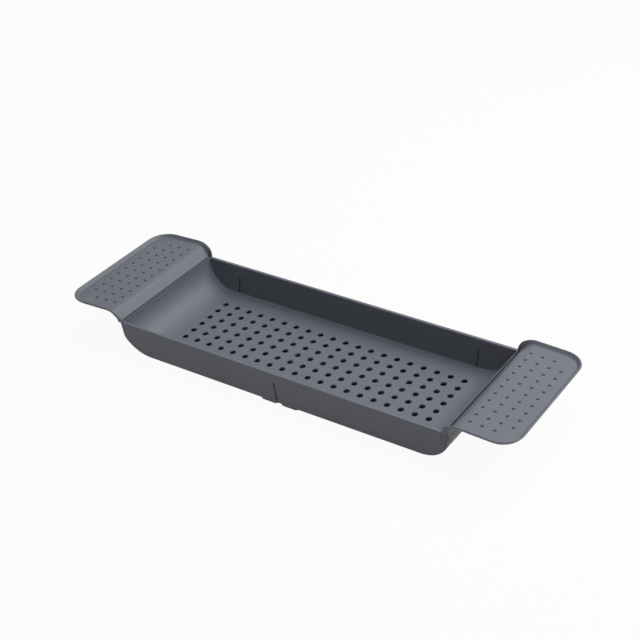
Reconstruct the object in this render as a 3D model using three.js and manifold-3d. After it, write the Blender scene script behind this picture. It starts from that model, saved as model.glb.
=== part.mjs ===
import * as THREE from 'three';
import { mergeVertices } from 'three/addons/utils/BufferGeometryUtils.js';
import Module from 'manifold-3d';

const wasm = await Module();
wasm.setup();

// Extendable bath caddy, closed. Millimetres, +X along the length, +Y to the back, +Z up.
// The origin is on the surface it stands on, under the middle.

// Outer sizes
const TRAY_HALF_LENGTH = 190.6; // middle to the end of the perforated tray
const RIM_HALF_WIDTH = 77.5; // middle to the outer face of the rim
const WALL_LEAN = 0.17; // inward lean of the long walls per unit of depth
const WING_LENGTH = 55; // flat part of a wing
const WING_FLARE = 3.5; // wing beyond the rim on each side

// Heights, one above the other
const FOOT_HEIGHT = 3;
const UNDER_SPACE = 4.4; // slide floor to the underside of the tray
const TRAY_DEPTH = 31.6; // perforated floor to the rim
const WING_RISE = 10.7; // rim to the top of a wing
const WING_DROOP = 0.04; // fall of a wing per unit of length
const LIP_HEIGHT = 3.6; // lip above the top of a wing
const BAND_DEPTH = 12; // thick rim band of the tray
const EAR_LENGTH = 4; // upper corners of a slide beyond the ends of the rim band

// Thicknesses and clearances
const SHEET = 1.8; // floors, ends and wings
const WALL = 1.6; // long walls
const SLIDE_CLEARANCE = 0.4; // between pieces that slide on each other
const SEAM_GAP = 1; // tray end to the neck of a wing
const MIDDLE_GAP = 1.2; // between the two slides when closed
const SEAT_GAP = 0.3; // between a grip pad or a pin and what holds it

// Curves
const SCOOP_LENGTH = 34; // rising part of the tray floor at each end
const END_RADIUS = 32; // slide floor to slide end, outside
const NECK_RADIUS = 12; // neck to the flat of a wing
const NECK_SLOPE = 0.82; // turn of the neck from level
const FLOOR_FILLET = 2.5; // tray floor to tray wall
const BASE_FILLET = 1; // slide floor to slide wall
const CORNER_RADIUS = 23; // outer corners of a wing

// Drain holes of the tray
const HOLE_PITCH_X = 15.5;
const HOLE_PITCH_Y = 14.3;
const HOLE_RADIUS = 3.3;
const HOLE_SIDE_MARGIN = 30; // rim to the outermost row, at least

// Narrow upright slots in the tray walls, in line with the outermost holes
const WALL_SLOT_WIDTH = 1.4;
const WALL_SLOT_SILL = 1.2; // tray floor to the lower end of a slot

// Wing lip, grip pad and studs
const LIP_WIDTH = 3;
const LIP_OVERHANG = 1.5; // lip beyond the edge of the flat sheet
const STUD_PITCH_X = 12.4;
const STUD_PITCH_Y = 12.4;
const STUD_MARGIN = 15.5; // outermost studs to the edges of the wing
const STUD_RADIUS = 1.4;
const STUD_PROUD = 0.8;
const PAD_THICKNESS = 1.6;
const PAD_INSET = 8;

// Stop pins under the tray and their slots in the slides
const TRAVEL = 110; // how far each slide pulls out
const STOP_MARGIN = 5; // boss to the hole field and to the rising end of the floor
const STOP_RADIUS = 2.6;
const STOP_HEAD_RADIUS = 6;
const STOP_HEAD_THICKNESS = 1.5;
const BOSS_WALL = 1.9;

// Feet
const FOOT_LENGTH = 20;
const FOOT_WIDTH = 8;
const FOOT_MARGIN = 1.5; // foot to the inner end of its slide

// Flat sides that stand for curves
const FILLET_SIDES = 5;
const CURVE_SIDES = 6;
const CHEEK_SIDES = 8;
const SCOOP_SIDES = 10;
const STUD_SIDES = 6;
const HOLE_SIDES = 8;
const PIN_SIDES = 12;

// Finishes
const PLASTIC = { color: 0x6d7379, roughness: 0.5, metalness: 0 };
const RUBBER = { color: 0x3f4347, roughness: 0.8, metalness: 0 };

const SLIDE_FLOOR = FOOT_HEIGHT + SHEET;
const TRAY_BOTTOM = SLIDE_FLOOR + UNDER_SPACE;
const TRAY_FLOOR = TRAY_BOTTOM + SHEET;
const RIM = TRAY_FLOOR + TRAY_DEPTH;
const BAND_BOTTOM = RIM - BAND_DEPTH;
const SLIDE_WALL_TOP = BAND_BOTTOM - SLIDE_CLEARANCE;
const NECK_X = TRAY_HALF_LENGTH + SEAM_GAP;
const RAMP_RISE = WING_RISE - NECK_RADIUS * (1 - Math.cos(NECK_SLOPE));
const NECK_LENGTH = NECK_RADIUS * Math.sin(NECK_SLOPE) + RAMP_RISE / Math.tan(NECK_SLOPE);
const FLAT_X = NECK_X + NECK_LENGTH;
const RIM_THICKNESS = 2 * WALL + SLIDE_CLEARANCE;
const BAND_HALF_LENGTH = NECK_X - EAR_LENGTH;
const CHEEK_X = BAND_HALF_LENGTH + SLIDE_CLEARANCE;
const CHEEK_LENGTH = FLAT_X - CHEEK_X;
const HALF_LENGTH = FLAT_X + WING_LENGTH;
const WING_HALF_WIDTH = RIM_HALF_WIDTH + WING_FLARE;
const LEVEL_HALF_LENGTH = TRAY_HALF_LENGTH - SHEET - SCOOP_LENGTH;
const HOLE_COLUMNS = Math.floor((2 * LEVEL_HALF_LENGTH) / HOLE_PITCH_X) + 1;
const HOLE_ROWS = Math.floor((2 * (RIM_HALF_WIDTH - HOLE_SIDE_MARGIN)) / HOLE_PITCH_Y) + 1;
const STUD_COLUMNS = Math.floor((WING_LENGTH - STUD_MARGIN) / STUD_PITCH_X) + 1;
const STUD_ROWS = 2 * Math.floor((WING_HALF_WIDTH - STUD_MARGIN) / STUD_PITCH_Y) + 1;
const BOSS_RADIUS = STOP_RADIUS + SEAT_GAP + BOSS_WALL;
const STOP_X = LEVEL_HALF_LENGTH - STOP_MARGIN - BOSS_RADIUS;
const STOP_Y = ((HOLE_ROWS - 1) / 2) * HOLE_PITCH_Y + HOLE_RADIUS + STOP_MARGIN + BOSS_RADIUS;
const REACH = 2 * HALF_LENGTH;

const alongX = new THREE.Matrix4().makeBasis(
  new THREE.Vector3(0, 1, 0),
  new THREE.Vector3(0, 0, 1),
  new THREE.Vector3(1, 0, 0),
);
const alongY = new THREE.Matrix4().makeBasis(
  new THREE.Vector3(1, 0, 0),
  new THREE.Vector3(0, 0, 1),
  new THREE.Vector3(0, -1, 0),
);

function toSolid(geometry) {
  geometry.deleteAttribute('normal');
  geometry.deleteAttribute('uv');
  const merged = mergeVertices(geometry, 1e-4);
  return new wasm.Manifold(new wasm.Mesh({
    numProp: 3,
    vertProperties: new Float32Array(merged.attributes.position.array),
    triVerts: new Uint32Array(merged.index.array),
  }));
}

function toGeometry(solid) {
  const mesh = solid.getMesh();
  const geometry = new THREE.BufferGeometry();
  geometry.setAttribute('position', new THREE.BufferAttribute(new Float32Array(mesh.vertProperties), 3));
  geometry.setIndex(new THREE.BufferAttribute(new Uint32Array(mesh.triVerts), 1));
  geometry.computeVertexNormals();
  return geometry;
}

function extrude(points, depth) {
  const shape = new THREE.Shape(points.map(([u, v]) => new THREE.Vector2(u, v)));
  return new THREE.ExtrudeGeometry(shape, { depth, bevelEnabled: false });
}

// Outline in Y and Z drawn out along X from x0 to x1
function drawnAlongX(points, x0, x1) {
  return toSolid(extrude(points, x1 - x0).applyMatrix4(alongX).translate(x0, 0, 0));
}

// Outline in X and Z drawn out along Y, equally to both sides
function drawnAlongY(points, halfWidth) {
  return toSolid(extrude(points, 2 * halfWidth).applyMatrix4(alongY).translate(0, halfWidth, 0));
}

// Outline in X and Y drawn up from z0 to z1
function drawnUp(points, z0, z1) {
  return toSolid(extrude(points, z1 - z0).translate(0, 0, z0));
}

function box(x0, x1, y0, y1, z0, z1) {
  return drawnUp([[x0, y0], [x1, y0], [x1, y1], [x0, y1]], z0, z1);
}

function round(x, y, radius, z0, z1, sides) {
  const points = [];
  for (let i = 0; i < sides; i += 1) {
    const angle = (2 * Math.PI * (i + 0.5)) / sides;
    points.push([x + radius * Math.cos(angle), y + radius * Math.sin(angle)]);
  }
  return drawnUp(points, z0, z1);
}

function arc(cu, cv, ru, rv, from, to, steps) {
  const points = [];
  for (let i = 0; i <= steps; i += 1) {
    const angle = from + ((to - from) * i) / steps;
    points.push([cu + ru * Math.cos(angle), cv + rv * Math.sin(angle)]);
  }
  return points;
}

function mirrored(points) {
  return points.map(([u, v]) => [-u, v]).reverse();
}

// Outer face of the long walls at height z
function wallFace(z) {
  return RIM_HALF_WIDTH - WALL_LEAN * (RIM - z);
}

// Top of a wing at distance x from the middle
function wingTop(x) {
  return RIM + WING_RISE - WING_DROOP * (x - FLAT_X);
}

// Cross-section of a trough whose walls stand inward of the outer face
function troughSection(inward, floor, fillet, top) {
  const centreY = wallFace(floor + fillet) - inward - fillet * Math.hypot(1, WALL_LEAN);
  const side = arc(centreY, floor + fillet, fillet, fillet, -Math.PI / 2, -Math.atan(WALL_LEAN), FILLET_SIDES);
  side.push([wallFace(top) - inward, top]);
  return [...side, ...mirrored(side)];
}

// Right half of a lengthwise outline with a rising end, from the floor up to a height
function scoopOutline(end, length, floor, height) {
  return arc(end - length, height, length, height - floor, -Math.PI / 2, 0, SCOOP_SIDES);
}

function bothSides(points) {
  return [...points, ...points.map(([u, v]) => [u, -v]).reverse()];
}

// Rounded outer end of a wing, moved inward
function wingCorner(inset) {
  const radius = CORNER_RADIUS - inset;
  const x = HALF_LENGTH - CORNER_RADIUS;
  const y = WING_HALF_WIDTH - CORNER_RADIUS;
  return arc(x, y, radius, radius, 0, Math.PI / 2, CURVE_SIDES);
}

// Plan of a wing with its neck, which narrows to the rim
function wingPlan(inset) {
  const y = RIM_HALF_WIDTH - inset;
  const neck = arc(FLAT_X, y, CHEEK_LENGTH, WING_FLARE, Math.PI / 2, Math.PI, CURVE_SIDES);
  return bothSides([...wingCorner(inset), ...neck]);
}

// Neck at a height above its sheet, from the end of a slide up to the flat of the wing
function neckLine(above) {
  const foot = NECK_X - above / Math.sin(NECK_SLOPE);
  const radius = NECK_RADIUS + above;
  const turn = Math.PI / 2 + NECK_SLOPE;
  const centreZ = RIM + WING_RISE - NECK_RADIUS;
  return [[foot, RIM], ...arc(FLAT_X, centreZ, radius, radius, turn, Math.PI / 2, CURVE_SIDES)];
}

// Side cheek of a wing, which rises from the upper corner of the slide to the lip
function cheekLine() {
  return arc(FLAT_X, RIM, CHEEK_LENGTH, WING_RISE + LIP_HEIGHT, Math.PI, Math.PI / 2, CHEEK_SIDES);
}

// Lengthwise band between two lines that end at two heights above the top of a wing
function wingBand(lower, low, upper, high) {
  const end = HALF_LENGTH + SHEET;
  const outline = [...lower, [end, wingTop(end) + low], [end, wingTop(end) + high], ...upper.reverse()];
  return drawnAlongY(outline, WING_HALF_WIDTH + SHEET);
}

function makeTray() {
  const outerHalf = scoopOutline(TRAY_HALF_LENGTH, SCOOP_LENGTH + SHEET, TRAY_BOTTOM, RIM);
  const innerHalf = scoopOutline(TRAY_HALF_LENGTH - SHEET, SCOOP_LENGTH, TRAY_FLOOR, RIM);
  innerHalf.push([TRAY_HALF_LENGTH - SHEET, RIM + SHEET]);
  const outerLength = drawnAlongY([...outerHalf, ...mirrored(outerHalf)], RIM_HALF_WIDTH + SHEET);
  const innerLength = drawnAlongY([...innerHalf, ...mirrored(innerHalf)], RIM_HALF_WIDTH + SHEET);
  const thin = troughSection(WALL + SLIDE_CLEARANCE, TRAY_BOTTOM, FLOOR_FILLET + WALL, RIM);
  const band = [
    [wallFace(BAND_BOTTOM) - RIM_THICKNESS, BAND_BOTTOM],
    [wallFace(BAND_BOTTOM), BAND_BOTTOM],
    [wallFace(RIM), RIM],
    [wallFace(RIM) - RIM_THICKNESS, RIM],
  ];
  const hollow = troughSection(RIM_THICKNESS, TRAY_FLOOR, FLOOR_FILLET, RIM + SHEET);
  const inner = drawnAlongX(hollow, -REACH, REACH).intersect(innerLength);
  let tray = drawnAlongX(thin, -REACH, REACH).intersect(outerLength);
  for (const strip of [band, mirrored(band)]) {
    tray = tray.add(drawnAlongX(strip, -BAND_HALF_LENGTH, BAND_HALF_LENGTH));
  }
  tray = tray.subtract(inner);

  const holes = [];
  for (let i = 0; i < HOLE_COLUMNS; i += 1) {
    for (let j = 0; j < HOLE_ROWS; j += 1) {
      const x = (i - (HOLE_COLUMNS - 1) / 2) * HOLE_PITCH_X;
      const y = (j - (HOLE_ROWS - 1) / 2) * HOLE_PITCH_Y;
      holes.push(round(x, y, HOLE_RADIUS, TRAY_BOTTOM - SHEET, TRAY_FLOOR + SHEET, HOLE_SIDES));
    }
  }
  tray = holes.reduce((body, hole) => body.subtract(hole), tray);

  for (const side of [-1, 1]) {
    const x = ((side * (HOLE_COLUMNS - 1)) / 2) * HOLE_PITCH_X;
    const left = x - WALL_SLOT_WIDTH / 2;
    const right = x + WALL_SLOT_WIDTH / 2;
    const bottom = TRAY_FLOOR + WALL_SLOT_SILL;
    const inside = wallFace(bottom) - RIM_THICKNESS - FLOOR_FILLET;
    for (const face of [-1, 1]) {
      const y0 = Math.min(face * inside, face * RIM_HALF_WIDTH);
      const y1 = Math.max(face * inside, face * RIM_HALF_WIDTH);
      tray = tray.subtract(box(left, right, y0, y1, bottom, BAND_BOTTOM));
    }
  }

  for (const x of [-STOP_X, STOP_X]) {
    for (const y of [-STOP_Y, STOP_Y]) {
      const bossBottom = SLIDE_FLOOR + SLIDE_CLEARANCE;
      const boss = round(x, y, BOSS_RADIUS, bossBottom, TRAY_BOTTOM + SHEET / 2, PIN_SIDES);
      const bore = round(x, y, STOP_RADIUS + SEAT_GAP, 0, TRAY_BOTTOM - SHEET / 2, PIN_SIDES);
      tray = tray.add(boss).subtract(bore);
    }
  }
  return toGeometry(tray);
}

function studPositions() {
  const positions = [];
  for (let i = 0; i < STUD_COLUMNS; i += 1) {
    const skip = i === STUD_COLUMNS - 1 ? 1 : 0;
    for (let j = skip; j < STUD_ROWS - skip; j += 1) {
      const x = HALF_LENGTH - STUD_MARGIN - (STUD_COLUMNS - 1 - i) * STUD_PITCH_X;
      positions.push([x, (j - (STUD_ROWS - 1) / 2) * STUD_PITCH_Y]);
    }
  }
  return positions;
}

function makeSlide() {
  const curveTop = FOOT_HEIGHT + END_RADIUS;
  const outerHalf = scoopOutline(NECK_X + SHEET, END_RADIUS, FOOT_HEIGHT, curveTop);
  const innerHalf = scoopOutline(NECK_X, END_RADIUS - SHEET, SLIDE_FLOOR, curveTop);
  const start = MIDDLE_GAP / 2;
  const outerLength = drawnAlongY(
    [[start, FOOT_HEIGHT], ...outerHalf, [NECK_X + SHEET, RIM], [start, RIM]],
    RIM_HALF_WIDTH + SHEET,
  );
  const innerLength = drawnAlongY(
    [[-REACH, SLIDE_FLOOR], ...innerHalf, [NECK_X, RIM + SHEET], [-REACH, RIM + SHEET]],
    RIM_HALF_WIDTH + SHEET,
  );
  const outerSection = troughSection(0, FOOT_HEIGHT, BASE_FILLET + WALL, RIM);
  const innerSection = troughSection(WALL, SLIDE_FLOOR, BASE_FILLET, RIM + SHEET);
  const outer = drawnAlongX(outerSection, -REACH, REACH).intersect(outerLength);
  const inner = drawnAlongX(innerSection, -2 * REACH, REACH).intersect(innerLength);
  const overWalls = innerLength.intersect(box(-REACH, CHEEK_X, -REACH, REACH, SLIDE_WALL_TOP, RIM + SHEET));
  const trough = outer.subtract(inner).subtract(overWalls);

  const plan = drawnUp(wingPlan(0), 0, REACH);
  const insideLip = drawnUp(wingPlan(LIP_WIDTH), 0, REACH);
  const sheetPlan = drawnUp(wingPlan(LIP_OVERHANG), 0, REACH);
  const sheet = wingBand(neckLine(-SHEET), -SHEET, neckLine(0), 0).intersect(sheetPlan);
  const besideTray = RIM_HALF_WIDTH - WALL;
  const overTray = box(-REACH, NECK_X, -besideTray, besideTray, 0, REACH);
  const lip = wingBand(neckLine(-SHEET / 2), -SHEET / 2, cheekLine(), LIP_HEIGHT).intersect(plan);
  let slide = trough.add(sheet).add(lip.subtract(insideLip).subtract(overTray));

  const reach = STOP_RADIUS + SLIDE_CLEARANCE;
  for (const y of [-STOP_Y, STOP_Y]) {
    const slot = [
      ...arc(STOP_X, y, reach, reach, -Math.PI / 2, Math.PI / 2, CURVE_SIDES),
      ...arc(STOP_X - TRAVEL, y, reach, reach, Math.PI / 2, (3 * Math.PI) / 2, CURVE_SIDES),
    ];
    slide = slide.subtract(drawnUp(slot, 0, SLIDE_FLOOR + SHEET));
  }
  for (const [x, y] of studPositions()) {
    slide = slide.subtract(round(x, y, STUD_RADIUS + SEAT_GAP, SLIDE_FLOOR, REACH, STUD_SIDES));
  }
  return toGeometry(slide);
}

function makePad() {
  const top = -SHEET - SEAT_GAP;
  const corner = wingCorner(PAD_INSET);
  const plan = bothSides([...corner, [FLAT_X, WING_HALF_WIDTH - PAD_INSET]]);
  const under = top - PAD_THICKNESS;
  let pad = wingBand(neckLine(under), under, neckLine(top), top).intersect(drawnUp(plan, 0, REACH));
  for (const [x, y] of studPositions()) {
    const root = wingTop(x) + top - PAD_THICKNESS / 2;
    pad = pad.add(round(x, y, STUD_RADIUS, root, wingTop(x) + STUD_PROUD, STUD_SIDES));
  }
  return toGeometry(pad);
}

function makeStop(x, y) {
  const headTop = FOOT_HEIGHT - SLIDE_CLEARANCE;
  const head = round(x, y, STOP_HEAD_RADIUS, headTop - STOP_HEAD_THICKNESS, headTop, PIN_SIDES);
  const shank = round(x, y, STOP_RADIUS, headTop - STOP_HEAD_THICKNESS / 2, TRAY_BOTTOM - SHEET, PIN_SIDES);
  return toGeometry(head.add(shank));
}

function makeFoot(side) {
  const start = MIDDLE_GAP / 2 + FOOT_MARGIN;
  const outside = wallFace(FOOT_HEIGHT) - BASE_FILLET;
  const points = [
    [start, side * outside],
    [start + FOOT_LENGTH, side * outside],
    [start + FOOT_LENGTH, side * (outside - FOOT_WIDTH)],
    [start, side * (outside - FOOT_WIDTH)],
  ];
  return toGeometry(drawnUp(side < 0 ? points : points.reverse(), 0, FOOT_HEIGHT));
}

const caddy = new THREE.Group();

function addPiece(name, geometry, finish) {
  const mesh = new THREE.Mesh(geometry, new THREE.MeshStandardMaterial(finish));
  mesh.name = name;
  caddy.add(mesh);
}

function turned(geometry) {
  return geometry.clone().rotateZ(Math.PI);
}

const slide = makeSlide();
const pad = makePad();
const frontFoot = makeFoot(-1);
const backFoot = makeFoot(1);

addPiece('perforated_tray', makeTray(), PLASTIC);
addPiece('right_slide', slide, PLASTIC);
addPiece('left_slide', turned(slide), PLASTIC);
addPiece('right_grip_pad', pad, RUBBER);
addPiece('left_grip_pad', turned(pad), RUBBER);
addPiece('right_front_foot', frontFoot, RUBBER);
addPiece('right_back_foot', backFoot, RUBBER);
addPiece('left_front_foot', turned(backFoot), RUBBER);
addPiece('left_back_foot', turned(frontFoot), RUBBER);
addPiece('right_front_stop_pin', makeStop(STOP_X, -STOP_Y), PLASTIC);
addPiece('right_back_stop_pin', makeStop(STOP_X, STOP_Y), PLASTIC);
addPiece('left_front_stop_pin', makeStop(-STOP_X, -STOP_Y), PLASTIC);
addPiece('left_back_stop_pin', makeStop(-STOP_X, STOP_Y), PLASTIC);

export default caddy;
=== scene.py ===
import math

import bmesh
import bpy
from mathutils import Matrix, Vector


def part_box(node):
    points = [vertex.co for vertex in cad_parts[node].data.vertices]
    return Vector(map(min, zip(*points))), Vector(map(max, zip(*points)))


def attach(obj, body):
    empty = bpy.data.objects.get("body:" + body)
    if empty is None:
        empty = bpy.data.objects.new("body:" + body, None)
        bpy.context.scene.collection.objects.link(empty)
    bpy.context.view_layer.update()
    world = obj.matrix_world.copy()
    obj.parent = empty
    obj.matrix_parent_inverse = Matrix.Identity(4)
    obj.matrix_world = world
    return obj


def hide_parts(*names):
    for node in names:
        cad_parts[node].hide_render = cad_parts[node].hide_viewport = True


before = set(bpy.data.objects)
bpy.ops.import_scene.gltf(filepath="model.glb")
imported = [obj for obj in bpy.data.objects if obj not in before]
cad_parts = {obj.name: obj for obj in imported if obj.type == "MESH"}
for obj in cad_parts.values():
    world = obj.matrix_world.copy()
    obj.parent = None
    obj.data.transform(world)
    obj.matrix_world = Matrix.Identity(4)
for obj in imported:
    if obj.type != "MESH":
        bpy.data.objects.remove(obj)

bl_info = {
    "name": "Bath caddy",
    "version": (1, 0, 0),
    "blender": (4, 5, 0),
    "location": "View3D > Sidebar > Bath caddy",
    "description": "Extendable grey plastic bath caddy around its packed CAD frame",
    "category": "Object",
}

MM = 0.001
QUARTER_TURN = math.pi / 2
SIDES = (("right", 1), ("left", -1))
CORNERS = (("right", "front"), ("right", "back"), ("left", "front"), ("left", "back"))

# Tolerances
NEAR = 0.01 * MM
TOUCH = 0.001 * MM
HAIR = 0.0001 * MM
FACING_UP = 0.5
STRAIGHT_LINE = 0.01
RIGHT_TURN = math.radians(60)
SHARP_TURN = math.radians(55)

# Steps that stand for curves
FINE_STEPS = 1
EDGE_STEPS = 2
SOFT_STEPS = 3
FILLET_STEPS = 5
CORNER_STEPS = 8
CURVE_STEPS = 10
END_STEPS = 14
SCOOP_STEPS = 18
HOLE_CUTS = 3
STUD_CUTS = 2
BORE_SIDES = 24
PIN_SIDES = 32

# Finish and camera
SPECULAR = 0.4
MOTTLE_SCALE = 38
MOTTLE_DETAIL = 4
GRAIN_DETAIL = 3
GRAIN_DEPTH = 0.1 * MM
GLOSS_SPREAD = 0.05
SENSOR_WIDTH = 36

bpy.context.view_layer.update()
TRAY_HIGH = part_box("perforated_tray")[1]
SLIDE_LOW, SLIDE_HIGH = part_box("right_slide")
PIN_LOW, PIN_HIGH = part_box("right_front_stop_pin")


# Properties

def length(name, description, millimetres):
    """Length that the user may change, given in millimetres."""
    return bpy.props.FloatProperty(
        name=name, description=description, default=millimetres * MM,
        unit="LENGTH", subtype="DISTANCE", precision=5,
    )


def ratio(name, description, default):
    """Plain number that the user may change."""
    return bpy.props.FloatProperty(
        name=name, description=description, default=default, subtype="FACTOR", precision=4
    )


def count(name, description, default):
    """Whole number that the user may change."""
    return bpy.props.IntProperty(name=name, description=description, default=default, min=1)


def colour(name, description, default):
    """Colour that the user may change, linear."""
    return bpy.props.FloatVectorProperty(
        name=name, description=description, default=default, size=3, subtype="COLOR", min=0, max=1
    )


class CaddyTraySizes(bpy.types.PropertyGroup):
    """Sizes of the perforated tray."""

    half_length: length("Half length", "Middle to the end of the tray", TRAY_HIGH.x / MM)
    band_half_length: length("Band half length", "Middle to the end of the rim band", 187.6)
    rim_half_width: length("Rim half width", "Middle to the rim's outer face", TRAY_HIGH.y / MM)
    rim_height: length("Rim height", "Standing surface to the top of the rim", TRAY_HIGH.z / MM)
    depth: length("Depth", "Floor to the rim", 31.6)
    lean: ratio("Wall lean", "Inward lean of the long walls per unit of depth", 0.17)
    sheet: length("Sheet", "Thickness of floors, ends and wings", 1.8)
    wall: length("Wall", "Thickness of the long walls", 1.6)
    clearance: length("Clearance", "Between pieces that slide on each other", 0.4)
    band_depth: length("Band depth", "Height of the thick rim band", 12)
    band_gap: length("Band gap", "Between the rim band and the slide wall under it", 0.03)
    scoop: length("Scoop", "Rising part of the floor at each end", 34)
    end_sheet: length("End sheet", "Thickness of the tray's ends at the rim", 0.8)
    fillet: length("Floor fillet", "Radius between floor and walls", 2.5)
    rim_round: length("Rim rounding", "Radius on the rim's edges", 0.9)
    edge_round: length("Edge rounding", "Radius on the other edges", 0.3)
    hole_columns: count("Hole columns", "Drain holes along the length", 20)
    hole_rows: count("Hole rows", "Drain holes across the width", 7)
    hole_pitch_x: length("Hole pitch along", "Between columns of holes", 15.5)
    hole_pitch_y: length("Hole pitch across", "Between rows of holes", 14.3)
    hole_radius: length("Hole radius", "Radius of a drain hole", 3.3)
    slot_width: length("Slot width", "Width of the upright slots in the walls", 1.4)
    slot_sill: length("Slot sill", "Floor to the lower end of a slot", 1.2)
    boss_wall: length("Boss wall", "Wall of the bosses that hold the stop pins", 2.2)


class CaddySlideSizes(bpy.types.PropertyGroup):
    """Sizes of the two slides and their wings."""

    start: length("Start", "Middle to the inner end of a slide", SLIDE_LOW.x / MM)
    half_length: length("Half length", "Middle to the outer edge of a wing", SLIDE_HIGH.x / MM)
    wing_half_width: length("Wing half width", "Middle to a wing's long edge", SLIDE_HIGH.y / MM)
    underside: length("Underside", "Standing surface to the slide's floor", SLIDE_LOW.z / MM)
    seam: length("Seam", "Gap between the tray's end and the neck of a wing", 1)
    fillet: length("Base fillet", "Radius between a slide's floor and walls", 1)
    end_radius: length("End radius", "Outer radius between a slide's floor and its end", 32)
    neck_radius: length("Neck radius", "Radius between the neck and the flat of a wing", 12)
    neck_slope: bpy.props.FloatProperty(
        name="Neck slope", description="Turn of the neck from level", default=0.82,
        unit="ROTATION", subtype="ANGLE",
    )
    rise: length("Wing rise", "Rim to the top of a wing", 10.7)
    droop: ratio("Wing droop", "Fall of a wing per unit of length", 0.04)
    corner: length("Corner", "Radius of a wing's outer corners", 23)
    lip_height: length("Lip height", "Lip above the top of a wing", 3.6)
    lip_flare: ratio("Lip flare", "Outward lean of the lip per unit of height", 0.9)
    lip_fillet: length("Lip fillet", "Radius between a wing and its lip", 2)
    edge_round: length("Edge rounding", "Radius on a slide's edges", 0.5)
    travel: length("Travel", "How far each slide pulls out", 110)
    slot_reach: length("Slot reach", "Half the width of the slots for the stop pins", 3)
    ear_round: length("Ear rounding", "Radius of the upright corners at the end of a slide", 4.5)
    pin_radius: length("Pin radius", "Radius of a stop pin", 2.6)
    pin_head: length("Pin head", "Thickness of a stop pin's head", 1.5)
    pin_gap: length("Pin gap", "Between a stop pin and its boss", 0.3)
    pin_round: length("Pin rounding", "Bevel on a stop pin's edges", 0.4)


class CaddyGripSizes(bpy.types.PropertyGroup):
    """Sizes of the grip pads and their studs."""

    stud_columns: count("Stud columns", "Studs along a wing", 4)
    stud_rows: count("Stud rows", "Studs across a wing", 11)
    pitch_x: length("Stud pitch along", "Between columns of studs", 12.4)
    pitch_y: length("Stud pitch across", "Between rows of studs", 12.4)
    margin: length("Stud margin", "Outermost studs to the wing's outer edge", 15.5)
    radius: length("Stud radius", "Radius of a stud", 1.4)
    proud: length("Stud height", "Stud above the top of its wing", 0.8)
    stud_round: ratio("Stud rounding", "Radius of a stud's edge against its own", 0.6)
    gap: length("Seat gap", "Between a pad and its wing", 0.3)
    thickness: length("Pad thickness", "Thickness of a grip pad", 1.6)
    pad_round: ratio("Pad rounding", "Radius of a pad's edges against its thickness", 0.25)
    inset: length("Pad inset", "Edge of a wing to its pad", 8)
    foot_width: ratio("Foot width", "Width of a foot against its seat", 0.8)
    foot_round: ratio("Foot rounding", "Radius of a foot's corners against its width", 0.48)
    foot_dome: ratio("Foot doming", "Radius of a foot's lower edge against its height", 0.35)


class CaddyFinish(bpy.types.PropertyGroup):
    """Colours of the plastic and the soft grips."""

    plastic: colour("Plastic", "Slate grey moulded plastic", (0.140, 0.149, 0.180))
    plastic_dark: colour(
        "Plastic, darker", "Darker tone of the plastic's faint mottle", (0.128, 0.136, 0.166)
    )
    soft: colour("Soft grip", "Grip pads and feet", (0.088, 0.093, 0.107))
    soft_dark: colour("Soft grip, darker", "Darker tone of the soft grip", (0.076, 0.081, 0.094))


class CaddyStage(bpy.types.PropertyGroup):
    """Camera, light and floor."""

    camera_place: bpy.props.FloatVectorProperty(
        name="Camera place", description="Where the camera stands",
        default=(0.6759, -0.9534, 0.8139), subtype="TRANSLATION", unit="LENGTH",
    )
    camera_turn: bpy.props.FloatVectorProperty(
        name="Camera turn", description="How the camera is turned",
        default=(math.radians(57.1557), math.radians(2.8028), math.radians(33.2333)),
        subtype="EULER",
    )
    lens: bpy.props.FloatProperty(
        name="Lens", description="Focal length on a 36 mm sensor", default=78.139, unit="CAMERA"
    )
    key_power: bpy.props.FloatProperty(
        name="Key light", description="Power of the main lamp", default=22, unit="POWER"
    )
    key_place: bpy.props.FloatVectorProperty(
        name="Key place", description="Where the main lamp hangs",
        default=(0.55, 0.5, 1.2), subtype="TRANSLATION", unit="LENGTH",
    )
    key_size: length("Key size", "Side of the main lamp", 1300)
    fill: ratio("Fill light", "Strength of the even light from all round", 0.15)
    floor_size: length("Floor size", "Side of the floor", 6000)
    floor: colour("Floor", "Pale floor", (0.6, 0.6, 0.6))
    floor_roughness: ratio("Floor roughness", "Roughness of the floor", 0.9)
    floor_white: ratio("Floor white", "Share of plain white in the floor as seen", 0.95)


# Derived sizes

def tray_floor(tray):
    return tray.rim_height - tray.depth


def tray_level(tray):
    """Half the length of the tray's level floor."""
    return tray.half_length - tray.sheet - tray.scoop


def lean_angle(tray):
    """Turn of a fillet from the floor to the leaning wall."""
    return QUARTER_TURN - math.atan(tray.lean)


def wall_face(tray, z):
    """Outer face of the long walls at height z."""
    return tray.rim_half_width - tray.lean * (tray.rim_height - z)


def floor_edge(tray, floor, fillet, inward):
    """Half the width of a level floor whose walls stand inward of the outer face."""
    return wall_face(tray, floor + fillet) - inward - fillet * math.hypot(1, tray.lean)


def neck_start(tray, slide):
    """Distance from the middle to the inner face of a slide's end."""
    return tray.half_length + slide.seam


def ramp_length(slide):
    """Straight part of the neck, along its slope."""
    rise = slide.rise - slide.neck_radius * (1 - math.cos(slide.neck_slope))
    return rise / math.sin(slide.neck_slope)


def neck_length(slide):
    """Neck from the tray's end to the flat of a wing, seen from above."""
    turn = slide.neck_slope
    return slide.neck_radius * math.sin(turn) + ramp_length(slide) * math.cos(turn)


def wing_start(tray, slide):
    """Distance from the middle to the flat of a wing."""
    return neck_start(tray, slide) + neck_length(slide)


def wing_top(tray, slide, x):
    """Top of a wing at distance x from the middle."""
    return tray.rim_height + slide.rise - slide.droop * (x - wing_start(tray, slide))


def cheek_start(tray):
    """Distance from the middle to a slide's upper corners, where the cheeks begin."""
    return tray.band_half_length + tray.clearance


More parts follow.
